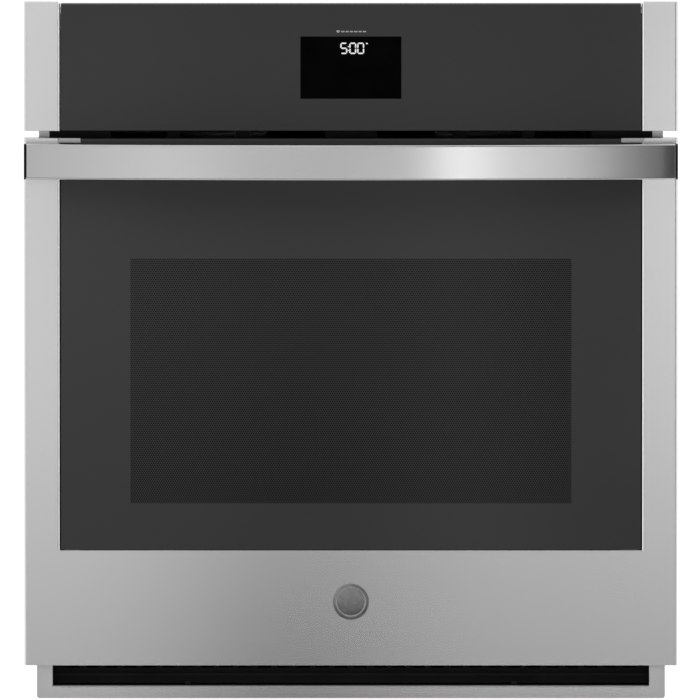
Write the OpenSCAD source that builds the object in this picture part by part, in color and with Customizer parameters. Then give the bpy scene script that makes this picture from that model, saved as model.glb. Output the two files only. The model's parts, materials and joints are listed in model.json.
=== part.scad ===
// Built-in electric wall oven of the 27 inch class, as separate pieces.
// X runs to the right, Y into the cabinet and Z up.
// Y = 0 is the cabinet's face and Z = 0 is the foot of the front.

/* [Front] */
// Width of the door and of the control panel
front_w = 679.5; // [676:0.5:684]
// Height from the foot of the front to the top of the control panel
front_h = 727.1; // [725:0.1:730]
// How far the door's face stands in front of the cabinet
front_d = 40; // [40:0.5:42]
// Height of the control panel
panel_h = 134; // [132:0.5:136]
// Gap between the control panel and the door
panel_gap = 7.6; // [6:0.1:9]
// Height of the door's lower edge
door_z = 36.7; // [36:0.1:37.5]
// Width of the dark glass of the door and panel
glass_w = 604; // [600:1:608]
// Height of the lower edge of the door glass
glass_z = 156.4; // [150:0.2:162]
// Radius of the rounded stainless edges
edge_r = 3; // [2:0.5:4]
// Radius of the round badge on the door
badge_r = 19; // [12:0.5:24]

/* [Mounting flange] */
// Width of the flange that covers the cabinet cutout
flange_w = 649.5; // [646:0.5:650]
// Height of the flange
flange_h = 714; // [711:1:718]
// Width between the cabinet screw holes
screw_spacing_x = 638; // [637.5:0.5:639]
// Height between the cabinet screw holes
screw_spacing_z = 380; // [300:10:440]
// Radius of the cabinet screw holes
screw_hole_r = 2.2; // [1.8:0.1:2.4]

/* [Case] */
// Width of the case behind the flange
case_w = 629; // [627:0.5:630]
// Depth of the case behind the flange
case_d = 584; // [580:1:600]
// Height of the underside of the case
case_z = 12; // [11.5:0.5:12.5]
// Height of the top of the case
case_top = 697; // [696:0.5:700]
// Thickness of the case's sheet steel
sheet = 1; // [0.8:0.1:1]
// Radius of the conduit hole in the junction box
conduit_r = 11.1; // [10:0.1:14]

/* [Cavity] */
// Inner width of the cavity
cavity_w = 546; // [544:1:548]
// Height of the cavity floor
cavity_z = 96; // [95:0.5:97]
// Inner height of the cavity
cavity_h = 440; // [436:1:442]
// Depth of the cavity behind the cabinet face
cavity_d = 507; // [505:1:508]
// Radius of the cavity's corners
cavity_r = 20; // [14:1:24]

/* [Hinge] */
// Distance of each hinge from the middle
hinge_x = 290; // [289:0.5:291]
// Height of the hinge axis
hinge_z = 44.5; // [44.3:0.1:45]
// Distance of the hinge axis in front of the cabinet
hinge_out = 22; // [21.5:0.1:22.5]
// Radius of the hinge pins
pin_r = 3; // [2.5:0.1:3.2]

/* [Handle] */
// Length of the handle bar
handle_w = 674; // [660:0.5:674]
// Height of the handle bar
handle_h = 36.8; // [30:0.1:38]
// Depth of the handle bar
handle_t = 10; // [8:0.5:12]
// How far the bar's middle stands in front of the door
handle_out = 58; // [50:1:60]
// How far the bar's middle bows out in front of its ends
handle_bow = 27; // [10:1:28]

/* [Racks] */
// Number of rack levels on each side
rack_levels = 6; // [5:1:6]
// Height between two rack levels
level_step = 58; // [54:1:60]
// Number of long wires between a rack's side rods
rack_wires = 15; // [9:2:19]
// Radius of the racks' frame rods
rack_r = 3; // [2.6:0.1:3.2]

/* [Fans] */
// Radius of the convection fan
fan_r = 74; // [60:1:78]
// Number of blades of the convection fan
fan_blades = 8; // [5:1:10]
// Radius of the cooling blower's wheel
blower_r = 62; // [50:1:66]
// Number of vanes of the cooling blower's wheel
blower_vanes = 24; // [12:2:30]

/* [Hidden] */

$fn = 48;
steel = [0.74, 0.75, 0.76];
galvanised = [0.62, 0.64, 0.66];
enamel = [0.13, 0.13, 0.15];
glass = [0.22, 0.22, 0.23];
black = [0.05, 0.05, 0.06];
chrome = [0.82, 0.83, 0.85];

// Front
front_y = -front_d;
front_x = front_w / 2;
door_top = front_h - panel_h - panel_gap;
panel_z = front_h - panel_h;
glass_x = glass_w / 2;
glass_t = 4;
seam = 0.5;
skin_t = 1;
plate_t = 1.2;
face_y = -2 * plate_t;
door_back_y = -3.5;
badge_z = 103;
door_screw_z = [100, 320, 530];
face_screw_z = [80, 198, 316, 434, 550];
rear_screw_z = [50, 230, 410, 590];
top_screw_y = [60, 220, 380, 540];

// Case and flange
case_x = case_w / 2;
flange_x = flange_w / 2;
collar_d = 15;
rear_y = case_d - sheet;
screw_z = 360;
vent_x = 311;
vent_z = [13, 39];
frame_open_x = 300;
upper_open_x = 290;
upper_open_z = [574, 690];

// Cavity
cavity_x = cavity_w / 2;
cavity_top = cavity_z + cavity_h;
liner_face_x = 312;
liner_face_z = [56, 572];
wool_t = 26;
wool_gap = 2;
gasket_r = 3.35;
gasket_x = cavity_x + 7;
gasket_y = face_y - gasket_r;
fan_z = 316;
lamp_pos = [-190, 460];
lamp_r = 27;
probe_pos = [190, 490];
vent_pos = [0, 150];
vent_r = 12.5;
broil_z = cavity_top - 22;
bake_z = cavity_z - 14;
element_r = 3.6;
ring_r = 92;
leg_x = 12;
leg_z = fan_z + sqrt(ring_r * ring_r - leg_x * leg_x);

// Compartment above the cavity
deck_z = cavity_top + 38;
duct_x = 260;
duct_y = 330;
duct_z = [deck_z, deck_z + 20];
blower_y = 420;
blower_case_r = blower_y - duct_y;
blower_z = [deck_z, deck_z + 50];
junction_x = 225;
junction_z = 640;

// Door hinge and latch
hinge_y = -hinge_out;
fit = 0.05;
arm_t = 4;
nose_r = 14;
channel_half = 8;
channel_z = [door_z + 1.5, 320];
rod_z0 = hinge_z + 26;
rod_z1 = 290;
seat_z = 102;
feed_x = [180, 120];
feed_z = [deck_z + 38, deck_z + 48];
latch_pos = [-276, 14];
latch_z = deck_z + 1;
switch_pos = [275, deck_z + 5];
plateau_x = cavity_x - 11;
plateau_z = [cavity_z + 12, cavity_top - 12];
plateau_y = -4;
window_x = 229;
window_z = [205, 461];

// Handle
bar_front_y = front_y - handle_out;
bar_r = (pow(handle_w / 2, 2) + pow(handle_bow, 2)) / (2 * handle_bow);
bar_centre_y = bar_front_y + bar_r;
bar_angle = 2 * asin(handle_w / 2 / bar_r);
bar_z = door_top - 4.6 - handle_h;
post_x = [304, handle_w / 2 + 2.6];

// Racks
level_z0 = cavity_z + 44;
rail_x = cavity_x - 8.5;
rail_r = 2.5;
rack_y = [30, 452];
upper_level = rack_levels - 2;
lower_level = 1;

// ---------- helpers ----------

module box(x, y, z) {
    translate([x[0], y[0], z[0]])
        cube([x[1] - x[0], y[1] - y[0], z[1] - z[0]]);
}

module left_right() {
    children();
    mirror([1, 0, 0]) children();
}

module rod_x(x, y, z, r) {
    translate([x[0], y, z]) rotate([0, 90, 0]) cylinder(r = r, h = x[1] - x[0]);
}

module rod_y(x, y, z, r) {
    translate([x, y[0], z]) rotate([-90, 0, 0]) cylinder(r = r, h = y[1] - y[0]);
}

module rod_z(x, y, z, r) {
    translate([x, y, z[0]]) cylinder(r = r, h = z[1] - z[0]);
}

// Turns its children about the Y axis at height z
module rotate_about(angle, z) {
    translate([0, 0, z]) rotate([0, angle, 0]) translate([0, 0, -z]) children();
}

// Flat rectangle with round corners
module rounded(x, y, r) {
    translate([x[0] + r, y[0]]) square([x[1] - x[0] - 2 * r, y[1] - y[0]]);
    translate([x[0], y[0] + r]) square([x[1] - x[0], y[1] - y[0] - 2 * r]);
    for (cx = [x[0] + r, x[1] - r], cy = [y[0] + r, y[1] - r])
        translate([cx, cy]) circle(r = r);
}

// Stands an outline drawn in X and Z up, between two values of Y
module upright(y) {
    translate([0, y[1], 0]) rotate([90, 0, 0]) linear_extrude(y[1] - y[0]) children();
}

// Upright block with round corners
module tablet(x, y, z, r) {
    upright(y) rounded(x, z, r);
}

// Straight and bent tube through flat points, with bends of radius b
module tube_path(pts, r, b) {
    n = len(pts);
    dir = [for (i = [0:n - 2]) (pts[i + 1] - pts[i]) / norm(pts[i + 1] - pts[i])];
    turn = [for (i = [1:n - 2]) let (c = cross(dir[i - 1], dir[i]), d = dir[i - 1] * dir[i]) atan2(c, d)];
    cut = [0, for (t = turn) b * tan(abs(t) / 2), 0];
    for (i = [0:n - 2])
        let (a = pts[i] + dir[i] * cut[i], e = pts[i + 1] - dir[i] * cut[i + 1])
            translate([a[0], a[1], 0])
                rotate([0, 0, atan2(dir[i][1], dir[i][0])])
                    rotate([0, 90, 0]) cylinder(r = r, h = norm(e - a));
    for (i = [1:n - 2])
        let (t = turn[i - 1], s = sign(t), side = [-dir[i - 1][1], dir[i - 1][0]] * s)
            let (c = pts[i] - dir[i - 1] * cut[i] + side * b, a0 = atan2(-side[1], -side[0]))
                translate([c[0], c[1], 0])
                    rotate_extrude(angle = abs(t), start = s > 0 ? a0 : a0 + t)
                        translate([b, 0]) circle(r = r);
}

// Closed rectangular tube loop with bends of radius b
module tube_loop(x, y, r, b) {
    for (s = [0, 1]) {
        rod_x([x[0] + b, x[1] - b], y[s], 0, r);
        rod_y(x[s], [y[0] + b, y[1] - b], 0, r);
    }
    for (i = [0:3])
        translate([i == 0 || i == 3 ? x[1] - b : x[0] + b, i < 2 ? y[1] - b : y[0] + b, 0])
            rotate_extrude(angle = 90, start = 90 * i)
                translate([b, 0]) circle(r = r);
}

// Pan-head screw whose head sits at the origin and faces -Z
module screw(head_r, shank_r, length) {
    difference() {
        translate([0, 0, -2.2]) cylinder(r = head_r, h = 2.2, $fn = 32);
        for (a = [0, 90])
            rotate([0, 0, a]) translate([-head_r * 0.55, -0.4, -2.3]) cube([head_r * 1.1, 0.8, 1.3]);
    }
    cylinder(r = shank_r, h = length, $fn = 24);
}

// ---------- case ----------

module front_frame() {
    color(steel) difference() {
        union() {
            tablet([-flange_x, flange_x], [-plate_t, 0], [0, flange_h], 2);
            difference() {
                box([-case_x, case_x], [-0.1, collar_d], [case_z, case_top]);
                box([-case_x + sheet, case_x - sheet], [-1, collar_d + 1], [case_z + sheet, case_top - sheet]);
            }
        }
        box([-frame_open_x, frame_open_x], [-3, 1], [cavity_z - 22, cavity_top + 20]);
        box([-upper_open_x, upper_open_x], [-3, 1], upper_open_z);
        box([-vent_x, vent_x], [-3, 1], vent_z);
        left_right() {
            box([hinge_x - 6, hinge_x + 6], [-3, 1], [vent_z[1] - 1, hinge_z + 9.5]);
            for (s = [-1, 1])
                rod_y(screw_spacing_x / 2, [-3, 1], screw_z + s * screw_spacing_z / 2, screw_hole_r);
            for (z = face_screw_z)
                rod_y(306, [-3, 1], z, 1.8);
        }
    }
}

// Folded sheet with three stiffening ribs pressed inwards
module side_panel() {
    inner = case_x - sheet;
    z = [case_z + sheet, case_top - sheet];
    box([inner, case_x], [collar_d, rear_y], z);
    for (edge = [z[0], z[1] - sheet])
        box([case_x - 14, inner], [40, rear_y], [edge, edge + sheet]);
    difference() {
        box([case_x - 14, inner], [rear_y - sheet, rear_y], z);
        for (hole = rear_screw_z)
            rod_y(case_x - 7, [rear_y - 2, rear_y + 1], hole, 1.8);
    }
    for (rib = [190, 350, 510])
        box([inner - 2, inner], [60, rear_y - 60], [rib - 6, rib + 6]);
}

module side_panel_left() {
    color(galvanised) mirror([1, 0, 0]) side_panel();
}

module side_panel_right() {
    color(galvanised) side_panel();
}

module top_cover() {
    color(galvanised) difference() {
        box([-case_x, case_x], [collar_d, rear_y], [case_top - sheet, case_top]);
        for (x = [-140:20:140], y = [360, 400, 440, 480])
            box([x - 6, x + 6], [y - 2, y + 2], [case_top - 2, case_top + 1]);
        left_right()
            for (y = top_screw_y)
                rod_z(case_x - 7, y, [case_top - 3, case_top + 1], 1.8);
    }
}

module base_pan() {
    color(galvanised) {
        box([-case_x, case_x], [collar_d, rear_y], [case_z, case_z + sheet]);
        for (x = [-200, 0, 200])
            box([x - 15, x + 15], [60, rear_y - 40], [case_z + sheet, case_z + sheet + 5]);
    }
}

module rear_cover() {
    color(galvanised) difference() {
        box([-case_x, case_x], [rear_y, case_d], [case_z, case_top]);
        box([junction_x - 52, junction_x + 52], [rear_y - 1, case_d + 1], [junction_z - 32, junction_z + 32]);
        for (x = [-150:20:150], z = [630, 645, 660])
            box([x - 6, x + 6], [rear_y - 1, case_d + 1], [z - 2, z + 2]);
        for (x = [-60:20:60], z = [290, 305, 320, 335])
            box([x - 6, x + 6], [rear_y - 1, case_d + 1], [z - 2, z + 2]);
        left_right()
            for (z = rear_screw_z)
                rod_y(case_x - 7, [rear_y - 1, case_d + 1], z, 1.8);
    }
}

module bottom_vent_trim() {
    half = 327.1;
    inner = 310.7;
    color(steel) difference() {
        union() {
            tablet([-half, half], [face_y, -plate_t], [0, 36], edge_r);
            box([-half, half], [face_y, -plate_t], [18, 42]);
        }
        box([-inner, inner], [face_y - 1, 0], [11.6, 60]);
    }
}

module vent_recess() {
    back = 30;
    color(black) {
        difference() {
            box([-vent_x, vent_x], [0, back], vent_z);
            box([-vent_x + 1, vent_x - 1], [-1, back - 1], [vent_z[0] + 1, vent_z[1] - 1]);
            for (x = [-290:20:290])
                box([x - 7, x + 7], [back - 2, back + 1], [vent_z[0] + 17, vent_z[0] + 21]);
        }
        box([-vent_x + 1, vent_x - 1], [19, 21], [vent_z[0] + 9, vent_z[0] + 12]);
        left_right() box([167, 173], [4, 12], [vent_z[0] + 1, vent_z[0] + 5]);
    }
}

// ---------- cavity ----------

module oven_liner() {
    color(enamel) {
        difference() {
            tablet([-cavity_x - 1, cavity_x + 1], [-plate_t, cavity_d + 1], [cavity_z - 1, cavity_top + 1], cavity_r + 1);
            tablet([-cavity_x, cavity_x], [-3, cavity_d], [cavity_z, cavity_top], cavity_r);
            rod_y(0, [cavity_d - 1, cavity_d + 2], fan_z, 8);
            rod_y(lamp_pos[0], [cavity_d - 1, cavity_d + 2], lamp_pos[1], lamp_r - 5);
            rod_y(probe_pos[0], [cavity_d - 1, cavity_d + 2], probe_pos[1], 3);
            rod_z(vent_pos[0], vent_pos[1], [cavity_top - 1, cavity_top + 2], vent_r);
            left_right() {
                rod_y(30, [cavity_d - 1, cavity_d + 2], broil_z, element_r + 1);
                rod_y(leg_x, [cavity_d - 1, cavity_d + 2], leg_z, element_r + 1);
            }
        }
        difference() {
            box([-liner_face_x, liner_face_x], [face_y, -plate_t], liner_face_z);
            tablet([-cavity_x, cavity_x], [-3, 0], [cavity_z, cavity_top], cavity_r);
            left_right()
                for (z = face_screw_z)
                    rod_y(306, [-3, 0], z, 1.8);
        }
    }
}

module door_gasket() {
    color([0.16, 0.15, 0.15])
        translate([0, gasket_y, 0]) rotate([90, 0, 0])
            tube_loop([-gasket_x, gasket_x], [cavity_z - 7, cavity_top + 7], gasket_r, cavity_r + 7);
}

module insulation() {
    in_x = cavity_x + 1 + wool_gap;
    color([0.85, 0.8, 0.6]) difference() {
        box([-in_x - wool_t, in_x + wool_t], [6, cavity_d + 2 + wool_t], [cavity_z - 48, cavity_top + wool_t]);
        box([-in_x, in_x], [0, cavity_d + 2], [cavity_z - 24, cavity_top + wool_gap]);
        box([-52, 52], [cavity_d, case_d], [fan_z - 52, fan_z + 52]);
        rod_y(lamp_pos[0], [cavity_d, case_d], lamp_pos[1], lamp_r + 8);
        rod_y(probe_pos[0], [cavity_d, case_d], probe_pos[1], 8);
        rod_z(vent_pos[0], vent_pos[1], [cavity_top, 700], vent_r + 3);
        left_right() {
            rod_y(30, [cavity_d, case_d], broil_z, 9);
            rod_y(leg_x, [cavity_d, case_d], leg_z, 9);
            rod_y(40, [cavity_d, case_d], bake_z, 9);
            box([hinge_x - 14, hinge_x + 14], [0, 52], [0, 77]);
        }
    }
}

// Flat heating coil with its two legs at the back
module coil(half, front, back, leg_x, leg_y) {
    bend = 22;
    mid = half * 0.42;
    left_right()
        tube_path([[0, front], [half, front], [half, back], [mid, back], [mid, front + 70], [leg_x, front + 70],
            [leg_x, leg_y]], element_r, bend * 0.8);
}

module bake_element() {
    color([0.3, 0.3, 0.32]) translate([0, 0, bake_z]) coil(215, 50, 440, 40, 548);
}

module broil_element() {
    color([0.25, 0.25, 0.27]) {
        translate([0, 0, broil_z]) coil(205, 60, 430, 30, 545);
        for (y = [100, 320])
            difference() {
                box([-214, 214], [y - 1, y + 1], [broil_z - 7, broil_z + 14]);
                box([-200, 200], [y - 2, y + 2], [broil_z + 4, broil_z + 15]);
            }
        left_right()
            for (y = [100, 320])
                box([202, 214], [y - 5, y + 5], [cavity_top - 8, cavity_top - 0.5]);
    }
}

module convection_element() {
    y = 486;
    gap = asin(leg_x / ring_r);
    color([0.3, 0.3, 0.32]) {
        translate([0, y, fan_z]) rotate([90, 0, 0])
            rotate_extrude(angle = 360 - 2 * gap, start = 90 + gap) translate([ring_r, 0]) circle(r = element_r);
        left_right() rod_y(leg_x, [y - 5, 545], leg_z, element_r + 0.7);
    }
}

module fan_cover() {
    half = 135;
    front = 466;
    color(enamel) {
        difference() {
            tablet([-half, half], [front, cavity_d], [fan_z - half, fan_z + half], 30);
            tablet([-half + 1, half - 1], [front + 1, cavity_d + 1], [fan_z - half + 1, fan_z + half - 1], 29);
            for (ring = [1:4], i = [0:6 * ring - 1])
                rotate_about(60 * i / ring, fan_z) rod_y(15 * ring, [front - 1, front + 2], fan_z, 4.4);
            for (a = [0:90:270], i = [-5:5])
                rotate_about(a, fan_z) box([half - 3, half + 2], [475, 498], [fan_z + 16 * i - 3, fan_z + 16 * i + 3]);
        }
        left_right()
            for (s = [-1, 1])
                box([half, half + 12], [cavity_d - 1, cavity_d], [fan_z + s * 90 - 8, fan_z + s * 90 + 8]);
    }
}

module fan_motor() {
    shaft_r = 4;
    color(galvanised) difference() {
        union() {
            rod_y(0, [518, 552], fan_z, 32);
            box([-46, 46], [cavity_d + 1, cavity_d + 2.5], [fan_z - 12, fan_z + 12]);
            left_right() {
                box([44.5, 46], [cavity_d + 1, 536], [fan_z - 12, fan_z + 12]);
                box([28, 46], [534, 536], [fan_z - 12, fan_z + 12]);
            }
            rod_y(0, [552, 560], fan_z, 12);
        }
        rod_y(0, [500, 556], fan_z, shaft_r + fit);
    }
}

module rack_ladder() {
    z0 = level_z0 - 26;
    z1 = level_z0 + (rack_levels - 1) * level_step + 26;
    ends = [78, 432];
    for (y = ends) {
        rod_z(cavity_x - 3.2, y, [z0, z1], rail_r);
        for (z = [z0 + 8, z1 - 8])
            rod_x([cavity_x - 4, cavity_x - 0.2], y, z, 4);
    }
    for (i = [0:rack_levels - 1])
        translate([0, 0, level_z0 + i * level_step])
            tube_path([[cavity_x - 3.2, ends[0]], [rail_x, ends[0]], [rail_x, ends[1]],
                [cavity_x - 3.2, ends[1]]], rail_r, 4);
}

module rack_ladder_left() {
    color(chrome) mirror([1, 0, 0]) rack_ladder();
}

module rack_ladder_right() {
    color(chrome) rack_ladder();
}

module lamp_housing() {
    color(galvanised) translate([lamp_pos[0], 0, lamp_pos[1]]) {
        difference() {
            rod_y(0, [cavity_d + 1, 552], 0, lamp_r);
            rod_y(0, [cavity_d, 549], 0, lamp_r - 2);
        }
        difference() {
            rod_y(0, [cavity_d + 1, cavity_d + 2], 0, lamp_r + 6);
            rod_y(0, [cavity_d, cavity_d + 3], 0, lamp_r - 2);
        }
        rod_y(0, [552, 562], 0, 9);
    }
}

module lamp_lens() {
    color([0.8, 0.85, 0.85, 0.6]) translate([lamp_pos[0], 0, lamp_pos[1]])
        difference() {
            rod_y(0, [cavity_d - 9, cavity_d], 0, lamp_r);
            rod_y(0, [cavity_d - 6, cavity_d + 1], 0, lamp_r - 4);
        }
}

module lamp_bulb() {
    color([0.95, 0.93, 0.85]) translate([lamp_pos[0], 0, lamp_pos[1]]) {
        rod_y(0, [524, 549], 0, 7);
        translate([0, 520, 0]) sphere(r = 10);
    }
}

module temperature_probe() {
    color(chrome) translate([probe_pos[0], 0, probe_pos[1]]) {
        rod_y(0, [390, 545], 0, 2.4);
        translate([0, 390, 0]) sphere(r = 2.4);
        box([-14, 14], [cavity_d - 1.5, cavity_d], [-7, 7]);
    }
}

module cavity_vent() {
    color(galvanised) difference() {
        rod_z(vent_pos[0], vent_pos[1], [cavity_top + 1, duct_z[0]], vent_r + 1);
        rod_z(vent_pos[0], vent_pos[1], [cavity_top, duct_z[0] + 1], vent_r);
    }
}

// ---------- compartment above the cavity ----------

module air_duct() {
    color(black) {
        difference() {
            box([-duct_x, duct_x], [-plate_t, duct_y], duct_z);
            box([-duct_x + 1, duct_x - 1], [-3, duct_y + 1], [duct_z[0] + 1, duct_z[1] - 1]);
            rod_z(vent_pos[0], vent_pos[1], [duct_z[0] - 1, duct_z[0] + 2], vent_r);
        }
        difference() {
            box([-313.8, 313.8], [face_y, -plate_t], [liner_face_z[1] + 1, panel_z - 0.2]);
            left_right()
                for (slot = [[27, 106], [120, 178], [191, 250]])
                    box(slot, [-3, 0], [panel_z - 8.5, panel_z - 1.5]);
            box([-284, -258], [-3, 0], [latch_z - 5, latch_z + 5]);
            rod_y(switch_pos[0], [-3, 0], switch_pos[1], 4);
        }
    }
}

// Round behind and square towards the duct
module blower_outline(r) {
    circle(r = r, $fn = 96);
    translate([-r, -r]) square([2 * r, r]);
}

module blower_housing() {
    color(galvanised) translate([0, blower_y, 0]) difference() {
        translate([0, 0, blower_z[0]]) linear_extrude(blower_z[1] - blower_z[0]) blower_outline(blower_case_r);
        translate([0, 0, blower_z[0] + 1]) linear_extrude(blower_z[1] - blower_z[0] - 2)
            blower_outline(blower_case_r - 1);
        cylinder(r = 42, h = 700);
        box([-blower_case_r + 1, blower_case_r - 1], [duct_y - blower_y - 1, duct_y - blower_y + 2],
            [duct_z[0] + 1, duct_z[1] - 1]);
    }
}

module blower_motor() {
    color([0.35, 0.36, 0.38]) translate([0, blower_y, 0]) difference() {
        union() {
            rod_z(0, 0, [deck_z + 64, deck_z + 102], 32);
            for (a = [30, 150, 270])
                rotate([0, 0, a]) {
                    box([28, 54], [-5, 5], [deck_z + 64, deck_z + 66]);
                    box([48, 54], [-5, 5], [blower_z[1], deck_z + 66]);
                }
        }
        rod_z(0, 0, [deck_z + 60, deck_z + 98], 3 + fit);
    }
}

module control_board() {
    x = [-236, -36];
    y = [50, 230];
    z = duct_z[1] + 8;
    top = z + 1.6;
    color([0.08, 0.3, 0.16]) {
        box(x, y, [z, top]);
        for (px = [x[0] + 8, x[1] - 8], py = [y[0] + 8, y[1] - 8])
            rod_z(px, py, [duct_z[1], z], 3);
    }
    color([0.1, 0.1, 0.12])
        for (i = [0:5])
            box([x[0] + 14 + 26 * i, x[0] + 34 + 26 * i], [70, 86], [top, z + 18]);
    color([0.5, 0.4, 0.2])
        box([-200, -150], [130, 180], [top, z + 40]);
    color([0.15, 0.2, 0.4])
        for (px = [-120, -98, -76])
            rod_z(px, 150, [top, z + 26], 8);
    color([0.9, 0.9, 0.85]) {
        box([-56, -40], [102, 118], [top, feed_z[0] + 6]);
        box([-56, -40], [192, 208], [top, feed_z[1] + 6]);
    }
}

module wiring_harness() {
    color([0.7, 0.15, 0.12]) {
        translate([0, 0, feed_z[0]])
            tube_path([[-40, 110], [120, 110], [120, 460], [feed_x[0], 460], [feed_x[0], 514]], 4, 12);
        translate([0, 0, feed_z[1]])
            tube_path([[-40, 200], [-10, 200], [-10, 20], [feed_x[1], 20], [feed_x[1], -24.4]], 3.5, 10);
    }
}

module latch_motor() {
    plate_z = latch_z + 6;
    color(galvanised) {
        box([-304, -264], [2, 86], [plate_z, plate_z + 2]);
        box([-304, -302], [2, 86], [plate_z - 16, plate_z]);
        rod_z(latch_pos[0], latch_pos[1], [latch_z - 2, plate_z], 3);
        rod_z(-284, 58, [plate_z + 2, plate_z + 31], 17);
    }
}

module latch_hook() {
    color(steel) translate([latch_pos[0], latch_pos[1], latch_z]) difference() {
        union() {
            cylinder(r = 7, h = 2.5);
            translate([-4, -38, 0]) cube([8, 38, 2.5]);
            translate([-4, -38, 0]) cube([18, 5, 2.5]);
        }
        translate([0, 0, -1]) cylinder(r = 3 + fit, h = 5);
    }
}

module door_switch() {
    color([0.75, 0.72, 0.65]) difference() {
        box([switch_pos[0] - 8, switch_pos[0] + 8], [0.5, 26], [switch_pos[1] - 4.5, switch_pos[1] + 8]);
        rod_y(switch_pos[0], [-1, 14], switch_pos[1], 2.5 + fit);
    }
}

module switch_plunger() {
    color([0.9, 0.9, 0.88]) rod_y(switch_pos[0], [-9.2, 10], switch_pos[1], 2.5);
}

module junction_box() {
    x = [junction_x - 62, junction_x + 62];
    z = [junction_z - 42, junction_z + 42];
    color(galvanised) difference() {
        box(x, [505, rear_y], z);
        box([x[0] + 1, x[1] - 1], [506, rear_y - 1.5], [z[0] + 1, z[1] - 1]);
        rod_y(junction_x, [rear_y - 3, rear_y + 1], junction_z, conduit_r);
        rod_y(feed_x[0], [504, 508], feed_z[0], 5);
    }
}

module terminal_block() {
    color([0.85, 0.83, 0.78]) difference() {
        box([junction_x - 34, junction_x + 34], [506, 522], [junction_z - 34, junction_z - 14]);
        for (x = [-22, 0, 22])
            rod_y(junction_x + x, [512, 523], junction_z - 24, 4);
    }
}

// ---------- control panel ----------

module control_glass() {
    color(glass) tablet([-glass_x + seam, glass_x - seam], [front_y, front_y + glass_t], [panel_z + 0.4, front_h - 1.8], 1);
}

// Rounded column profile that faces the front and the outer side
module column_profile(depth) {
    difference() {
        rounded([glass_x, front_x], [front_y, 10], edge_r);
        rounded([glass_x + skin_t, front_x - skin_t], [front_y + skin_t, 9], edge_r - skin_t);
        translate([0, front_y + depth]) square([400, 60]);
        translate([glass_x - 1, front_y + 8]) square([10, 60]);
    }
}

module panel_end_cap() {
    translate([0, 0, panel_z]) linear_extrude(panel_h) column_profile(front_d - plate_t);
    for (z = [panel_z, front_h - skin_t])
        translate([0, 0, z]) linear_extrude(skin_t) difference() {
            rounded([glass_x, front_x], [front_y, 10], edge_r);
            translate([0, -plate_t]) square([400, 60]);
        }
}

module panel_end_cap_left() {
    color(steel) mirror([1, 0, 0]) panel_end_cap();
}

module panel_end_cap_right() {
    color(steel) panel_end_cap();
}

module panel_chassis() {
    z = [panel_z + 0.6, front_h - 2];
    color(black) {
        difference() {
            box([-glass_x + seam, glass_x - seam], [front_y + glass_t, -6], z);
            box([-glass_x + 1.5, glass_x - 1.5], [front_y, -7], [z[0] + 1, z[1] - 1]);
            box([feed_x[1] - 10, feed_x[1] + 10], [-8, 0], [feed_z[1] - 10, feed_z[1] + 10]);
        }
        left_right() {
            box([200, 296], [-6, -plate_t], [693, 705]);
            box([292, 300], [-6, -plate_t], [604, 680]);
        }
    }
}

module display_module() {
    color(black) box([-52.5, 52.5], [front_y + glass_t, -26], [626.3, 690.8]);
    color([0.08, 0.3, 0.16]) {
        box([-150, 150], [-26, -24.4], [606, 712]);
        for (x = [-140, 140], z = [614, 704])
            rod_y(x, [-24.4, -7], z, 3);
    }
}

// ---------- hinges ----------

module hinge_arm() {
    x = [hinge_x - arm_t / 2, hinge_x + arm_t / 2];
    difference() {
        union() {
            rod_x(x, hinge_y, hinge_z, 6.5);
            rod_x(x, hinge_y, hinge_z + nose_r, 5);
            box(x, [hinge_y - 4, hinge_y + 4], [hinge_z, hinge_z + nose_r]);
            box(x, [hinge_y, 34], [hinge_z - 4, hinge_z + 5]);
        }
        rod_x([x[0] - 1, x[1] + 1], hinge_y, hinge_z, pin_r + fit);
        rod_x([x[0] - 1, x[1] + 1], hinge_y, hinge_z + nose_r, 2);
        box([x[0] - 1, x[1] + 1], [18, 24], [hinge_z - 5, hinge_z]);
    }
}

module hinge_arms() {
    color([0.5, 0.5, 0.52]) left_right() hinge_arm();
}

module hinge_receiver() {
    z = [vent_z[1], 75];
    for (s = [-1, 1])
        box([hinge_x + s * 6.5 - 0.75, hinge_x + s * 6.5 + 0.75], [0, 44], z);
    box([hinge_x - 7.25, hinge_x + 7.25], [44, 46], z);
    rod_x([hinge_x - 5.75, hinge_x + 5.75], 21, hinge_z - 2.9, 2.5);
}

module hinge_receivers() {
    color([0.5, 0.5, 0.52]) left_right() hinge_receiver();
}

module hinge_channel() {
    x = [hinge_x - channel_half, hinge_x + channel_half];
    difference() {
        box(x, [-34, -12], channel_z);
        box([x[0] + 1.2, x[1] - 1.2], [-32.8, -11], [channel_z[0] - 1, channel_z[1] - 1.2]);
        box([x[0] + 1.2, x[1] - 1.2], [-40, -11], [channel_z[0] - 1, hinge_z + 24]);
    }
    difference() {
        box([x[0] + 1.2, x[1] - 1.2], [-32.8, -12], [seat_z - 2, seat_z]);
        rod_z(hinge_x, hinge_y, [seat_z - 3, seat_z + 1], pin_r + fit);
    }
    rod_x([x[0] + 1.2, x[1] - 1.2], hinge_y, hinge_z, pin_r);
}

module hinge_channels() {
    color([0.5, 0.5, 0.52]) left_right() hinge_channel();
}

module spring_rods() {
    color([0.6, 0.6, 0.62]) left_right() {
        rod_z(hinge_x, hinge_y, [rod_z0, rod_z1], pin_r);
        rod_z(hinge_x, hinge_y, [rod_z1 - 4, rod_z1], 6);
        rod_z(hinge_x, hinge_y, [rod_z0, rod_z0 + 6], 4);
    }
}

// Point on the wire's skin at coil angle a and section angle b
function wire_point(a, b, pitch, coil_r, wire_r) = [
    (coil_r + wire_r * cos(b)) * cos(a),
    (coil_r + wire_r * cos(b)) * sin(a),
    pitch * a / 360 + wire_r * sin(b),
];

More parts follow.
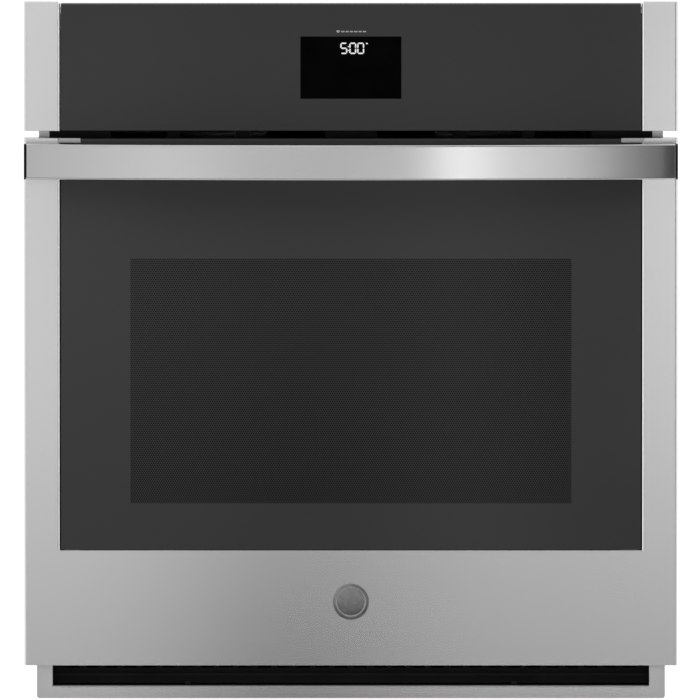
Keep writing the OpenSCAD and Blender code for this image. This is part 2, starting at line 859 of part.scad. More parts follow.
module helix(height, turns, coil_r, wire_r) {
    sides = 6;
    steps = 12 * turns;
    pitch = (height - 2 * wire_r) / turns;
    points = [
        for (i = [0:steps], j = [0:sides - 1])
            wire_point(30 * i, 360 * j / sides, pitch, coil_r, wire_r)
    ];
    skin = [
        for (i = [0:steps - 1], j = [0:sides - 1], half = [0, 1])
            let (a = i * sides + j, b = i * sides + (j + 1) % sides)
                half == 0 ? [a, b, b + sides] : [a, b + sides, a + sides]
    ];
    first = [for (j = [sides - 1:-1:0]) j];
    last = [for (j = [0:sides - 1]) steps * sides + j];
    translate([0, 0, wire_r]) polyhedron(points, concat(skin, [first, last]));
}

module door_springs() {
    color([0.25, 0.25, 0.27]) left_right()
        translate([hinge_x, hinge_y, seat_z + 0.1]) helix(rod_z1 - 4.2 - seat_z, 14, 5.2, 0.9);
}

// ---------- door ----------

module door_skin() {
    color(steel) difference() {
        union() {
            left_right() {
                translate([0, 0, door_z]) linear_extrude(door_top - door_z)
                    column_profile(front_d + door_back_y);
                translate([0, 0, door_top - skin_t]) linear_extrude(skin_t) difference() {
                    rounded([glass_x, front_x], [front_y, 10], edge_r);
                    translate([0, door_back_y]) square([400, 60]);
                }
            }
            box([-glass_x - 5, glass_x + 5], [front_y, front_y + skin_t], [door_z, glass_z]);
            box([-glass_x - 1, glass_x + 1], [front_y, front_y + 5.5], [glass_z - skin_t, glass_z]);
            box([-front_x + edge_r, front_x - edge_r], [front_y, -6], [door_z, door_z + skin_t]);
        }
        left_right() {
            box([glass_x - 1, glass_x + 2], [front_y + skin_t, 0], [door_z + skin_t, glass_z - skin_t]);
            box([hinge_x - 8, hinge_x + 8], [-35, 0], [door_z - 1, door_z + 2]);
            rod_y(317, [front_y - 1, front_y + 2], bar_z + handle_h / 2, 2.6);
        }
    }
}

module door_glass() {
    color(glass) tablet([-glass_x + seam, glass_x - seam], [front_y + 0.2, front_y + 0.2 + glass_t],
        [glass_z + seam, door_top - 0.5], 2);
}

module window_panes() {
    color([0.5, 0.55, 0.55, 0.6])
        for (y = [-10, -26])
            tablet([-window_x - 12, window_x + 12], [y, y + 4], [window_z[0] - 11, window_z[1] + 11], 4);
}

module window_frame() {
    color(galvanised) difference() {
        box([-window_x - 20, window_x + 20], [-34, plateau_y - 1], [window_z[0] - 19, window_z[1] + 19]);
        box([-window_x - 2, window_x + 2], [-35, 0], [window_z[0] - 1, window_z[1] + 1]);
        for (y = [-10, -26])
            tablet([-window_x - 12, window_x + 12], [y, y + 4], [window_z[0] - 11, window_z[1] + 11], 4);
    }
}

module door_liner() {
    half = front_x - skin_t - 0.1;
    z = [door_z + skin_t + 0.5, door_top - 3];
    sheet_y = [-10.5, -9.5];
    color(enamel) difference() {
        union() {
            box([-half, half], sheet_y, z);
            left_right() box([half - 1, half], [-28, sheet_y[1]], z);
            tablet([-plateau_x, plateau_x], [sheet_y[0], plateau_y], plateau_z, 18);
        }
        tablet([-plateau_x + 1, plateau_x - 1], [-20, plateau_y - 1], [plateau_z[0] + 1, plateau_z[1] - 1], 17);
        box([-window_x, window_x], [-20, 0], window_z);
        box([-281.5, -261], [-20, 0], [latch_z - 2.5, latch_z + 5]);
        left_right() {
            box([hinge_x - 7, hinge_x + 7], [-20, 0], [z[0] - 1, hinge_z + 24]);
            for (zs = door_screw_z)
                rod_y(327, [-20, 0], zs, 1.9);
        }
    }
}

module door_top_trim() {
    color(black) difference() {
        box([-glass_x + 1, glass_x - 1], [front_y + 4.4, -9.5], [door_top - 2.6, door_top - 1.4]);
        left_right()
            for (x = [20:24:260])
                box([x, x + 16], [-32, -26], [door_top - 4, door_top]);
    }
}

module glass_clips() {
    color(steel) left_right() {
        box([281, glass_x - 0.2], [front_y - 0.7, front_y + 0.2], [door_top - 4.4, door_top]);
        box([281, glass_x + 1.5], [front_y - 0.7, front_y], [door_top - 4.4, door_top]);
        box([281, glass_x - 0.2], [front_y - 0.7, front_y + 12], [door_top - 0.5, door_top]);
    }
}

module handle_bar() {
    color(chrome) translate([0, bar_centre_y, bar_z])
        rotate_extrude(angle = bar_angle, start = 270 - bar_angle / 2, $fn = 1080)
            rounded([bar_r - handle_t, bar_r], [0, handle_h], 2);
}

module handle_posts() {
    color(chrome) left_right() difference() {
        union() {
            intersection() {
                box(post_x, [bar_front_y, front_y], [bar_z + 1.5, bar_z + handle_h - 1.5]);
                translate([0, bar_centre_y, 0]) cylinder(r = bar_r - handle_t, h = 700, $fn = 1080);
            }
            box([handle_w / 2 + 0.5, post_x[1]], [bar_front_y + handle_bow + 0.6, front_y - 20],
                [bar_z, bar_z + handle_h]);
        }
        rod_y(317, [front_y - 16, front_y + 1], bar_z + handle_h / 2, 2.5);
    }
}

module badge() {
    color(steel) difference() {
        rod_y(0, [front_y - 1.8, front_y], badge_z, badge_r);
        difference() {
            rod_y(0, [front_y - 3, front_y - 1.4], badge_z, badge_r - 1.6);
            rod_y(0, [front_y - 4, front_y], badge_z, badge_r - 2.4);
        }
    }
}

// ---------- fasteners ----------

module chassis_screws() {
    color(chrome) {
        left_right() {
            for (z = face_screw_z)
                translate([306, face_y, z]) rotate([-90, 0, 0]) screw(3.6, 1.7, 8);
            for (z = rear_screw_z)
                translate([case_x - 7, case_d, z]) rotate([90, 0, 0]) screw(4, 1.7, 8);
            for (y = top_screw_y)
                translate([case_x - 7, y, case_top]) rotate([180, 0, 0]) screw(4, 1.7, 0.9);
        }
    }
}

module door_screws() {
    color(chrome) left_right() {
        for (z = door_screw_z)
            translate([327, -9.5, z]) rotate([90, 0, 0]) screw(3.6, 1.8, 10);
        translate([317, front_y + skin_t, bar_z + handle_h / 2]) rotate([90, 0, 0]) screw(4.5, 2.4, 14);
    }
}

// ---------- moving pieces ----------

module convection_fan() {
    back = 497;
    color(chrome) {
        rod_y(0, [back - 1.2, back], fan_z, fan_r * 0.55);
        rod_y(0, [474, 546], fan_z, 4);
        rod_y(0, [476, back], fan_z, 11);
        for (i = [0:fan_blades - 1])
            rotate_about(360 * i / fan_blades, fan_z)
                box([9, fan_r], [476, back], [fan_z - 0.6, fan_z + 0.6]);
    }
}

module blower_wheel() {
    z = [deck_z + 8, deck_z + 44];
    color([0.3, 0.31, 0.33]) translate([0, blower_y, 0]) {
        rod_z(0, 0, [z[0], z[0] + 1.5], blower_r);
        difference() {
            rod_z(0, 0, [z[1] - 1.5, z[1]], blower_r);
            rod_z(0, 0, [z[1] - 3, z[1] + 1], blower_r - 16);
        }
        for (i = [0:blower_vanes - 1])
            rotate([0, 0, 360 * i / blower_vanes])
                box([blower_r - 15, blower_r - 1], [-0.7, 0.7], [z[0] + 1, z[1] - 1]);
        rod_z(0, 0, [z[0], deck_z + 92], 3);
        rod_z(0, 0, [z[0], z[0] + 20], 8);
    }
}

module rack(level) {
    x = rail_x - 0.6;
    inner_x = x - 8;
    fence = 14;
    step = 2 * inner_x / (rack_wires + 1);
    color(chrome) translate([0, 0, level_z0 + level * level_step + rail_r + rack_r + 0.3]) {
        tube_loop([-x, x], rack_y, rack_r, 12);
        for (i = [1:rack_wires])
            rod_y(-inner_x + i * step, rack_y, 0, 1.7);
        for (y = [150, 320])
            rod_x([-x + 9, x - 9], y, -3.6, 2.4);
        for (y = [150, 320], s = [-1, 1])
            rod_x([s > 0 ? x - 11 : -x, s > 0 ? x : -x + 11], y, -0.6, 1.7);
        rod_x([-x + 20, x - 20], rack_y[1], fence, 2.4);
        left_right() rod_z(x - 22, rack_y[1], [0, fence], 2.4);
    }
}

module rack_upper() {
    rack(upper_level);
}

module rack_lower() {
    rack(lower_level);
}

// ---------- what is drawn ----------

front_frame();
side_panel_left();
side_panel_right();
top_cover();
base_pan();
rear_cover();
bottom_vent_trim();
vent_recess();
oven_liner();
door_gasket();
insulation();
bake_element();
broil_element();
convection_element();
fan_cover();
fan_motor();
rack_ladder_left();
rack_ladder_right();
lamp_housing();
lamp_lens();
lamp_bulb();
temperature_probe();
cavity_vent();
air_duct();
blower_housing();
blower_motor();
control_glass();
panel_end_cap_left();
panel_end_cap_right();
panel_chassis();
display_module();
control_board();
wiring_harness();
latch_motor();
door_switch();
hinge_arms();
hinge_receivers();
junction_box();
terminal_block();
chassis_screws();
convection_fan();
blower_wheel();
latch_hook();
switch_plunger();
rack_upper();
rack_lower();
spring_rods();
door_skin();
door_glass();
window_panes();
window_frame();
door_liner();
door_top_trim();
glass_clips();
handle_bar();
handle_posts();
badge();
hinge_channels();
door_springs();
door_screws();
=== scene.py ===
import json
import math

import bmesh
import bpy
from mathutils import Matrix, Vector

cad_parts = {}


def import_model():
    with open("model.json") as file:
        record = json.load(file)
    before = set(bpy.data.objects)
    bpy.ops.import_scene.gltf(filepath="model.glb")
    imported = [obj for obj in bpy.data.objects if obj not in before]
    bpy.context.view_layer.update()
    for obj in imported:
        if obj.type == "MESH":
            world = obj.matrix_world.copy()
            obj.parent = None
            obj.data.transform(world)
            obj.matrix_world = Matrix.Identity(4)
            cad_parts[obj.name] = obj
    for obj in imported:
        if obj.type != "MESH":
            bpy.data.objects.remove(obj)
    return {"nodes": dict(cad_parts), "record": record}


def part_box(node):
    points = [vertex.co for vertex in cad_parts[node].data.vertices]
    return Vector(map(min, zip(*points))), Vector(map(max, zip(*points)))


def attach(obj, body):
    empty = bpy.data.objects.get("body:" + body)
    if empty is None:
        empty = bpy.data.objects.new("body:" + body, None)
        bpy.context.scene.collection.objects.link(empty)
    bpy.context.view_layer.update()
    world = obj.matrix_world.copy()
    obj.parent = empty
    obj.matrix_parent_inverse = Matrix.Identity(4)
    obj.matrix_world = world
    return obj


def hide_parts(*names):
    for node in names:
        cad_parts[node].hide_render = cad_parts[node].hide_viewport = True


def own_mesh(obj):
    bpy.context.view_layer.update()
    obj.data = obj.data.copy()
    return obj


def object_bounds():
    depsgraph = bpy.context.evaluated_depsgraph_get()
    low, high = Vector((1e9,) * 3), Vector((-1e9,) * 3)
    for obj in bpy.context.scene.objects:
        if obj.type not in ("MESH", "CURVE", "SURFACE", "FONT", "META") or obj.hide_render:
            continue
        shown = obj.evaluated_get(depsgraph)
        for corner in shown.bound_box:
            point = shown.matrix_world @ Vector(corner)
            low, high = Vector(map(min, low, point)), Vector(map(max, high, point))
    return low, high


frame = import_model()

MM = 0.001
cad_lo, cad_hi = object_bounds()
nodes = frame["nodes"]
scene = bpy.context.scene

# ---------------------------------------------------------------- sizes, in metres

WINDOW_HALF = 229.2 * MM        # half width of the dotted window in the door glass
WINDOW_Z = (205.6 * MM, 460.3 * MM)
DOT_PITCH = 2.4 * MM            # dots stand in staggered rows
DOT_RADIUS = 0.93 * MM
HANDLE_BOW = 27 * MM            # the bar's middle stands this far in front of its ends
HANDLE_T = 10 * MM              # the bar's thickness
HANDLE_EDGE = 2 * MM            # radius of the bar's long edges
HANDLE_EASE = 0.6 * MM          # chamfer at the bar's two ends
SPRING_TURNS = 16
SPRING_WIRE = 0.95 * MM         # the wire's radius
GASKET_BEND = 27 * MM           # radius of the gasket's corners
RIB_Z = (190 * MM, 350 * MM, 510 * MM)
BOARD_PARTS = 9.9 * MM          # the circuit board's parts begin this far above its foot
DISPLAY_HALF = 52.5 * MM        # half width of the black display window
DISPLAY_Z = (626.6 * MM, 691.4 * MM)
DIGIT_H = 10.5 * MM
DIGIT_W = 5.9 * MM
DIGIT_TOP = 685.1 * MM
DIGIT_STROKE = 1.45 * MM
DIGIT_STARTS = (("5", -10.3 * MM), ("0", -1.0 * MM), ("0", 7.2 * MM))   # each digit and its left edge
COLON_X = -2.6 * MM
COLON_DOT = 1.2 * MM
COLON_DROPS = (4.2 * MM, 8.2 * MM)      # the colon's dots stand this far below the digits' top
FAN_MARK = (-13.3 * MM, 694.9 * MM)     # tip of the small printed quarter disc
FAN_RADIUS = 3.1 * MM
DASH_MARK = (-8.4 * MM, 696.5 * MM)     # middle of the first printed dash
DASH_SIZE = (3.5 * MM, 1.4 * MM)
DASH_PITCH = 4.5 * MM
DASH_COUNT = 6
GLASS_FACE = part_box("control_glass")[0].y
GLASS_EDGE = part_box("door_glass")[1].x
GLASS_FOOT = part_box("door_glass")[0].z
BAR_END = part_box("handle_bar")[1].x
POST_BEYOND = 350 * MM          # a distance from the middle past all of the handle posts

FLOOR_Z = -34 * MM              # clear of the handle when the door lies open
FLOOR_HALF = 200.0
CARD_Y = -4.0                   # the reflection card stands this far in front
CARD_HALF = 3.2
CARD_Z = (-3.0, 4.0)
NET_Y = -1.2
NET_HALF = 0.9
NET_Z = (-0.6, 0.8)

CAMERA_TILT = 3.0               # degrees, looking down
CAMERA_DISTANCE = 28.0
CAMERA_LENS = 1385.1
CAMERA_AIM = (-0.94 * MM, cad_lo.y + 58 * MM, 365.2 * MM)


# ---------------------------------------------------------------- materials

class Surface:
    """A procedural material under construction. Coordinates are metres in the part's own frame."""

    def __init__(self, name):
        self.material = bpy.data.materials.new(name)
        self.material.use_nodes = True
        self.tree = self.material.node_tree
        self.shader = self.tree.nodes["Principled BSDF"]
        self.coords = self.tree.nodes.new("ShaderNodeTexCoord").outputs["Object"]

    def link(self, source, socket):
        """Feeds a socket from another socket, a number or a colour."""
        if isinstance(source, (int, float)):
            socket.default_value = source
        elif isinstance(source, tuple):
            socket.default_value = (*source, 1.0) if len(source) == 3 and socket.type == "RGBA" else source
        else:
            self.tree.links.new(source, socket)

    def math(self, operation, a, b=0.0, c=0.0):
        node = self.tree.nodes.new("ShaderNodeMath")
        node.operation = operation
        for value, socket in zip((a, b, c), node.inputs):
            self.link(value, socket)
        return node.outputs[0]

    def product(self, first, *others):
        for other in others:
            first = self.math("MULTIPLY", first, other)
        return first

    def axes(self):
        node = self.tree.nodes.new("ShaderNodeSeparateXYZ")
        self.link(self.coords, node.inputs[0])
        return node.outputs

    def stretched(self, scale):
        """Coordinates times `scale`, which is one number or one for each axis."""
        node = self.tree.nodes.new("ShaderNodeMapping")
        node.inputs["Scale"].default_value = scale if isinstance(scale, tuple) else (scale,) * 3
        self.link(self.coords, node.inputs["Vector"])
        return node.outputs[0]

    def noise(self, scale, detail=3.0, roughness=0.5):
        """Noise of about `scale` cells per metre along each axis."""
        node = self.tree.nodes.new("ShaderNodeTexNoise")
        node.inputs["Scale"].default_value = 1.0
        node.inputs["Detail"].default_value = detail
        node.inputs["Roughness"].default_value = roughness
        self.link(self.stretched(scale), node.inputs["Vector"])
        return node.outputs["Fac"]

    def cells(self, scale, output="Color", feature="F1"):
        node = self.tree.nodes.new("ShaderNodeTexVoronoi")
        node.feature = feature
        node.inputs["Scale"].default_value = 1.0
        self.link(self.stretched(scale), node.inputs["Vector"])
        return node.outputs[output]

    def ramp(self, value, low, high, start=0.0, end=1.0):
        """Turns start..end of `value` into low..high, which are numbers or colours."""
        if isinstance(low, tuple):
            node = self.tree.nodes.new("ShaderNodeValToRGB")
            first, last = node.color_ramp.elements
            first.position, last.position = start, end
            first.color, last.color = (*low, 1.0), (*high, 1.0)
            self.link(value, node.inputs[0])
            return node.outputs[0]
        node = self.tree.nodes.new("ShaderNodeMapRange")
        for number, key in ((start, "From Min"), (end, "From Max"), (low, "To Min"), (high, "To Max")):
            node.inputs[key].default_value = number
        self.link(value, node.inputs["Value"])
        return node.outputs[0]

    def mix(self, share, a, b):
        node = self.tree.nodes.new("ShaderNodeMix")
        node.data_type = "RGBA"
        self.link(share, node.inputs[0])
        self.link(a, node.inputs[6])
        self.link(b, node.inputs[7])
        return node.outputs[2]

    def bump(self, height, distance, strength=1.0, base=None):
        node = self.tree.nodes.new("ShaderNodeBump")
        node.inputs["Strength"].default_value = strength
        node.inputs["Distance"].default_value = distance
        self.link(height, node.inputs["Height"])
        if base is not None:
            self.link(base, node.inputs["Normal"])
        return node.outputs[0]

    def inside(self, value, low, high):
        """1 where low < value < high."""
        return self.product(self.math("GREATER_THAN", value, low), self.math("LESS_THAN", value, high))

    def bell(self, value, centre, width):
        """Smooth hump of height 1 round a centre."""
        off = self.math("DIVIDE", self.math("SUBTRACT", value, centre), width)
        return self.math("POWER", math.e, self.product(off, off, -1.0))

    def set(self, **sockets):
        names = {
            "color": "Base Color", "metallic": "Metallic", "roughness": "Roughness", "normal": "Normal",
            "coat": "Coat Weight", "coat_roughness": "Coat Roughness", "specular": "Specular IOR Level",
            "anisotropic": "Anisotropic", "tangent": "Tangent", "transmission": "Transmission Weight",
            "ior": "IOR", "sheen": "Sheen Weight", "emission": "Emission Color", "glow": "Emission Strength",
            "subsurface": "Subsurface Weight",
        }
        for key, value in sockets.items():
            self.link(value, self.shader.inputs[names[key]])
        return self.material

    def plain(self, kind, socket, value):
        """Puts a shader of one input in the place of the usual one."""
        node = self.tree.nodes.new(kind)
        self.link(value, node.inputs[socket])
        self.tree.links.new(node.outputs[0], self.tree.nodes["Material Output"].inputs["Surface"])
        self.tree.nodes.remove(self.shader)
        return self.material


def grey(value):
    return (value, value, value)


def brushed(name, tone, roughness, anisotropic=0.6, spread=0.035, band=None):
    """Steel with a straight grain along X.

    band is (near, far, tone, above): a strip of another tone where |x| is near..far and z is over above. The
    strips passed in are painted light: a painted highlight on the door steel and painted shade on the handle
    posts.
    """
    s = Surface(name)
    grain = (4.0, 1500.0, 1500.0)
    fine = s.noise(grain, detail=4.0, roughness=0.6)
    broad = s.noise(tuple(g * 0.2 for g in grain), detail=2.0)
    streak = s.math("MULTIPLY_ADD", broad, 0.15, s.math("MULTIPLY", fine, 0.85))
    color = s.ramp(streak, grey(tone * (1 - spread)), grey(tone * (1 + spread)), 0.3, 0.7)
    if band:
        near, far, strip, above = band
        x, _, z = s.axes()
        share = s.product(s.inside(s.math("ABSOLUTE", x), near, far), s.math("GREATER_THAN", z, above))
        color = s.mix(share, color, grey(strip))
    across = s.tree.nodes.new("ShaderNodeVectorTransform")
    across.vector_type = "VECTOR"
    across.convert_from, across.convert_to = "OBJECT", "WORLD"
    across.inputs[0].default_value = (0.0, 0.0, 1.0)
    return s.set(
        color=color, metallic=1.0,
        roughness=s.ramp(streak, roughness * 0.94, roughness * 1.06, 0.3, 0.7),
        anisotropic=anisotropic, tangent=across.outputs[0],
        normal=s.bump(fine, 0.005 * MM, 0.2),
    )


def galvanised(name, rib_heights=()):
    """Zinc spangle in flakes. Side panels carry shallow pressed ribs."""
    s = Surface(name)
    spangle = s.cells(150.0)
    cloud = s.noise(9.0, detail=4.0)
    shade = s.math("MULTIPLY_ADD", spangle, 0.4, s.math("MULTIPLY", cloud, 0.6))
    normal = s.bump(s.noise(500.0), 0.01 * MM, 0.3)
    if rib_heights:
        _, y, z = s.axes()
        length = s.product(s.ramp(y, 0.0, 1.0, 0.055, 0.065), s.ramp(y, 1.0, 0.0, 0.52, 0.53))
        press = 0.0
        for height in rib_heights:
            off = s.math("ABSOLUTE", s.math("SUBTRACT", z, height))
            press = s.math("MAXIMUM", s.ramp(off, 1.0, 0.0, 4 * MM, 9 * MM), press)
        normal = s.bump(s.product(press, length), -2.5 * MM, 0.9, base=normal)
    return s.set(
        color=s.ramp(shade, (0.33, 0.342, 0.352), (0.45, 0.462, 0.47), 0.25, 0.75), metallic=0.85,
        roughness=s.ramp(spangle, 0.36, 0.46), normal=normal,
    )


def zinc():
    s = Surface("zinc_plated")
    haze = s.noise(220.0, detail=4.0)
    return s.set(
        color=s.ramp(haze, (0.42, 0.42, 0.39), (0.62, 0.62, 0.6), 0.3, 0.7), metallic=1.0,
        roughness=s.ramp(haze, 0.24, 0.4), normal=s.bump(s.noise(900.0), 0.02 * MM, 0.4),
    )


def enamel():
    """Black porcelain with fine pale flecks and a slight orange peel."""
    s = Surface("oven_enamel")
    fleck = s.cells(620.0, "Distance")
    pick = s.noise(900.0, detail=1.0)
    share = s.product(s.math("LESS_THAN", fleck, 0.2), s.math("GREATER_THAN", pick, 0.55))
    ground = s.ramp(s.noise(9.0), (0.018, 0.019, 0.024), (0.03, 0.031, 0.037), 0.3, 0.7)
    return s.set(
        color=s.mix(share, ground, (0.24, 0.26, 0.3)), roughness=s.ramp(s.noise(40.0), 0.16, 0.28),
        specular=0.5, coat=0.5, coat_roughness=0.08,
        normal=s.bump(s.noise(160.0, detail=1.0), 0.08 * MM, 0.35),
    )


def dark_glass():
    """Grey glass. The door's window area carries staggered black dots."""
    s = Surface("dark_glass")
    x, _, z = s.axes()
    row = DOT_PITCH * math.sqrt(3)

    def cell(value, size, shift):
        """Distance from the middle of a cell; the whole hundred keeps the fraction of a positive number."""
        turn = s.math("FRACT", s.math("ADD", s.math("DIVIDE", value, size), 100.0 + shift))
        return s.product(s.math("SUBTRACT", turn, 0.5), size)

    def lattice(shift):
        across, down = cell(x, DOT_PITCH, shift), cell(z, row, shift)
        return s.math("SQRT", s.math("ADD", s.math("POWER", across, 2.0), s.math("POWER", down, 2.0)))

    nearest = s.math("MINIMUM", lattice(0.0), lattice(0.5))
    window = s.product(s.inside(x, -WINDOW_HALF, WINDOW_HALF), s.inside(z, *WINDOW_Z))
    dot = s.product(window, s.ramp(nearest, 1.0, 0.0, DOT_RADIUS * 0.9, DOT_RADIUS * 1.1))
    ground = s.ramp(s.noise(6.0, detail=2.0), grey(0.0226), grey(0.0241), 0.3, 0.7)
    return s.set(
        color=s.mix(dot, ground, grey(0.0005)), roughness=s.ramp(s.noise(25.0), 0.045, 0.075),
        specular=0.09, normal=s.bump(s.noise(18.0, detail=1.0), 0.04 * MM, 0.2),
    )


def clear_glass():
    s = Surface("clear_glass")
    return s.set(
        color=s.ramp(s.noise(20.0), (0.82, 0.87, 0.85), (0.88, 0.92, 0.9), 0.3, 0.7), transmission=0.9,
        roughness=s.ramp(s.noise(35.0), 0.02, 0.07), ior=1.5, specular=0.5,
        normal=s.bump(s.noise(14.0, detail=1.0), 0.05 * MM, 0.2),
    )


def black_paint():
    s = Surface("black_paint")
    peel = s.noise(700.0, detail=2.0)
    return s.set(
        color=s.ramp(s.noise(30.0), grey(0.003), grey(0.007), 0.3, 0.7), roughness=s.ramp(peel, 0.42, 0.6),
        specular=0.2, normal=s.bump(peel, 0.05 * MM, 0.4),
    )


def black_plastic():
    s = Surface("black_plastic")
    grain = s.noise(1500.0, detail=2.0)
    return s.set(
        color=s.ramp(s.noise(40.0), grey(0.0004), grey(0.001), 0.3, 0.7),
        roughness=s.ramp(grain, 0.25, 0.35), specular=0.01,
        normal=s.bump(grain, 0.01 * MM, 0.3),
    )


def braid():
    """Woven glass-fibre sleeve."""
    s = Surface("gasket_fabric")
    x, y, z = s.axes()
    along = s.math("ADD", x, z)
    over = s.math("SINE", s.product(s.math("ADD", along, y), 2800.0))
    under = s.math("SINE", s.product(s.math("SUBTRACT", along, y), 2800.0))
    weave = s.math("MAXIMUM", over, under)
    worn = s.product(weave, s.noise(1500.0))
    return s.set(
        color=s.ramp(worn, (0.03, 0.027, 0.025), (0.14, 0.13, 0.12), 0.1, 0.7),
        roughness=s.ramp(weave, 0.95, 0.75, -1.0, 1.0), sheen=0.3, normal=s.bump(weave, 0.15 * MM, 0.8),
    )


def wool():
    s = Surface("glass_wool")
    fibre = s.noise((180.0, 60.0, 900.0), detail=8.0, roughness=0.7)
    tuft = s.noise(35.0, detail=5.0)
    shade = s.math("MULTIPLY_ADD", fibre, 0.6, s.math("MULTIPLY", tuft, 0.4))
    return s.set(
        color=s.ramp(shade, (0.5, 0.4, 0.2), (0.86, 0.79, 0.55), 0.3, 0.7), roughness=0.95,
        sheen=0.4, normal=s.bump(shade, 1.5 * MM, 0.9),
    )


def element():
    """Oxidised sheath of a heating rod."""
    s = Surface("element_alloy")
    scale = s.noise(260.0, detail=5.0, roughness=0.65)
    return s.set(
        color=s.ramp(scale, (0.05, 0.045, 0.045), (0.17, 0.15, 0.145), 0.3, 0.7), metallic=0.6,
        roughness=s.ramp(scale, 0.45, 0.7), normal=s.bump(scale, 0.06 * MM, 0.5),
    )


def plated():
    s = Surface("plated_wire")
    tone = 0.74
    haze = s.noise(150.0, detail=3.0)
    return s.set(
        color=s.ramp(haze, grey(tone * 0.93), grey(tone * 1.05), 0.3, 0.7), metallic=1.0,
        roughness=s.ramp(haze, 0.12, 0.22), normal=s.bump(s.noise(600.0), 0.01 * MM, 0.3),
    )


def motor_paint():
    s = Surface("motor_paint")
    peel = s.noise(500.0, detail=3.0)
    return s.set(
        color=s.ramp(s.noise(60.0), (0.05, 0.055, 0.06), (0.11, 0.115, 0.12), 0.3, 0.7), metallic=0.3,
        roughness=s.ramp(peel, 0.35, 0.5), normal=s.bump(peel, 0.04 * MM, 0.4),
    )


def circuit_board():
    """Green board below, dark parts above it."""
    s = Surface("circuit_board")
    z = s.axes()[2]
    height = s.math("GREATER_THAN", z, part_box("control_board")[0].z + BOARD_PARTS)
    trace = s.cells((160.0, 420.0, 60.0), "Distance", "DISTANCE_TO_EDGE")
    board = s.mix(s.math("LESS_THAN", trace, 0.07), (0.012, 0.11, 0.04), (0.05, 0.26, 0.1))
    kind = s.cells((38.0, 60.0, 1.0))
    parts = s.ramp(kind, (0.015, 0.015, 0.018), (0.2, 0.12, 0.05), 0.55, 0.95)
    return s.set(
        color=s.mix(height, board, parts), roughness=s.ramp(s.noise(200.0), 0.35, 0.55),
        normal=s.bump(s.noise(800.0), 0.03 * MM, 0.4),
    )


def insulation_red():
    s = Surface("wire_insulation")
    x, y, _ = s.axes()
    lay = s.math("SINE", s.product(s.math("ADD", x, y), 900.0))
    return s.set(
        color=s.ramp(s.noise(120.0), (0.32, 0.035, 0.03), (0.5, 0.07, 0.05), 0.3, 0.7), roughness=0.45,
        specular=0.4, normal=s.bump(lay, 0.3 * MM, 0.5),
    )


def white_plastic():
    s = Surface("white_plastic")
    grain = s.noise(900.0, detail=2.0)
    return s.set(
        color=s.ramp(s.noise(25.0), (0.72, 0.69, 0.62), (0.82, 0.8, 0.73), 0.3, 0.7),
        roughness=s.ramp(grain, 0.38, 0.5), subsurface=0.05, normal=s.bump(grain, 0.02 * MM, 0.3),
    )


def spring_steel():
    s = Surface("spring_steel")
    haze = s.noise(400.0, detail=4.0)
    return s.set(
        color=s.ramp(haze, (0.12, 0.12, 0.135), (0.27, 0.27, 0.29), 0.3, 0.7), metallic=1.0,
        roughness=s.ramp(haze, 0.28, 0.42), normal=s.bump(haze, 0.02 * MM, 0.3),
    )


def badge_steel():
    s = Surface("badge_steel")
    haze = s.noise(350.0, detail=4.0)
    return s.set(
        color=s.ramp(haze, grey(0.25), grey(0.34), 0.3, 0.7), metallic=1.0,
        roughness=s.ramp(haze, 0.3, 0.4), normal=s.bump(haze, 0.02 * MM, 0.4),
    )


def lit(name, tone):
    """Glowing segments of the clock."""
    s = Surface(name)
    glow = s.ramp(s.noise(900.0, detail=1.0), grey(tone * 0.92), grey(tone), 0.3, 0.7)
    return s.set(color=grey(0.02), roughness=0.5, specular=0.1, emission=glow, glow=1.0)


def print_ink(name, tone):
    s = Surface(name)
    return s.set(
        color=s.ramp(s.noise(2000.0, detail=1.0), grey(tone * 0.9), grey(tone), 0.3, 0.7),
        roughness=0.5, specular=0.15,
    )


# painted highlight: a pale strip on the door's steel beside the glass; painted shade: a nearly black strip
# on the handle posts past the bar's ends
PAINTED_EDGE_HIGHLIGHT = (GLASS_EDGE + 0.5 * MM, GLASS_EDGE + 2.8 * MM, 0.98, GLASS_FOOT)
PAINTED_END_SHADE = (BAR_END + 0.3 * MM, POST_BEYOND, 0.015, 0.0)

MATERIALS = {
    # the door steel carries a painted highlight strip along the glass edge
    "brushed_stainless": brushed("brushed_stainless", 0.64, 0.25, band=PAINTED_EDGE_HIGHLIGHT),
    "flange_steel": brushed("flange_steel", 0.58, 0.34),
    "handle_steel": brushed("handle_steel", 0.52, 0.2, anisotropic=0.5, spread=0.03),
    "galvanised_sheet": galvanised("galvanised_sheet"),
    "oven_enamel": enamel(),
    "dark_glass": dark_glass(),
    "clear_glass": clear_glass(),
    "black_paint": black_paint(),
    "black_plastic": black_plastic(),
    "gasket_fabric": braid(),
    "glass_wool": wool(),
    "element_alloy": element(),
    "plated_wire": plated(),
    "motor_paint": motor_paint(),
    "circuit_board": circuit_board(),
    "wire_insulation": insulation_red(),
    "zinc_plated": zinc(),
    "spring_steel": spring_steel(),
    "white_plastic": white_plastic(),
}

NODE_SLOT = {e["node"]: e["material_slot"] for e in frame["record"]["subparts"]}


# ---------------------------------------------------------------- CAD nodes that stay

ROUND_NODES = {
    "bake_element", "broil_element", "convection_element", "rack_ladder_left", "rack_ladder_right",
    "rack_upper", "rack_lower", "spring_rods", "wiring_harness", "temperature_probe", "lamp_bulb",
    "switch_plunger",
}
FINE_NODES = {"chassis_screws", "door_screws", "vent_recess", "glass_clips", "latch_hook"}


def clear_split_normals(mesh):
    for name in ("custom_normal", "sharp_edge", "sharp_face"):
        layer = mesh.attributes.get(name)
        if layer is not None:
            mesh.attributes.remove(layer)
    mesh.polygons.foreach_set("use_smooth", [True] * len(mesh.polygons))


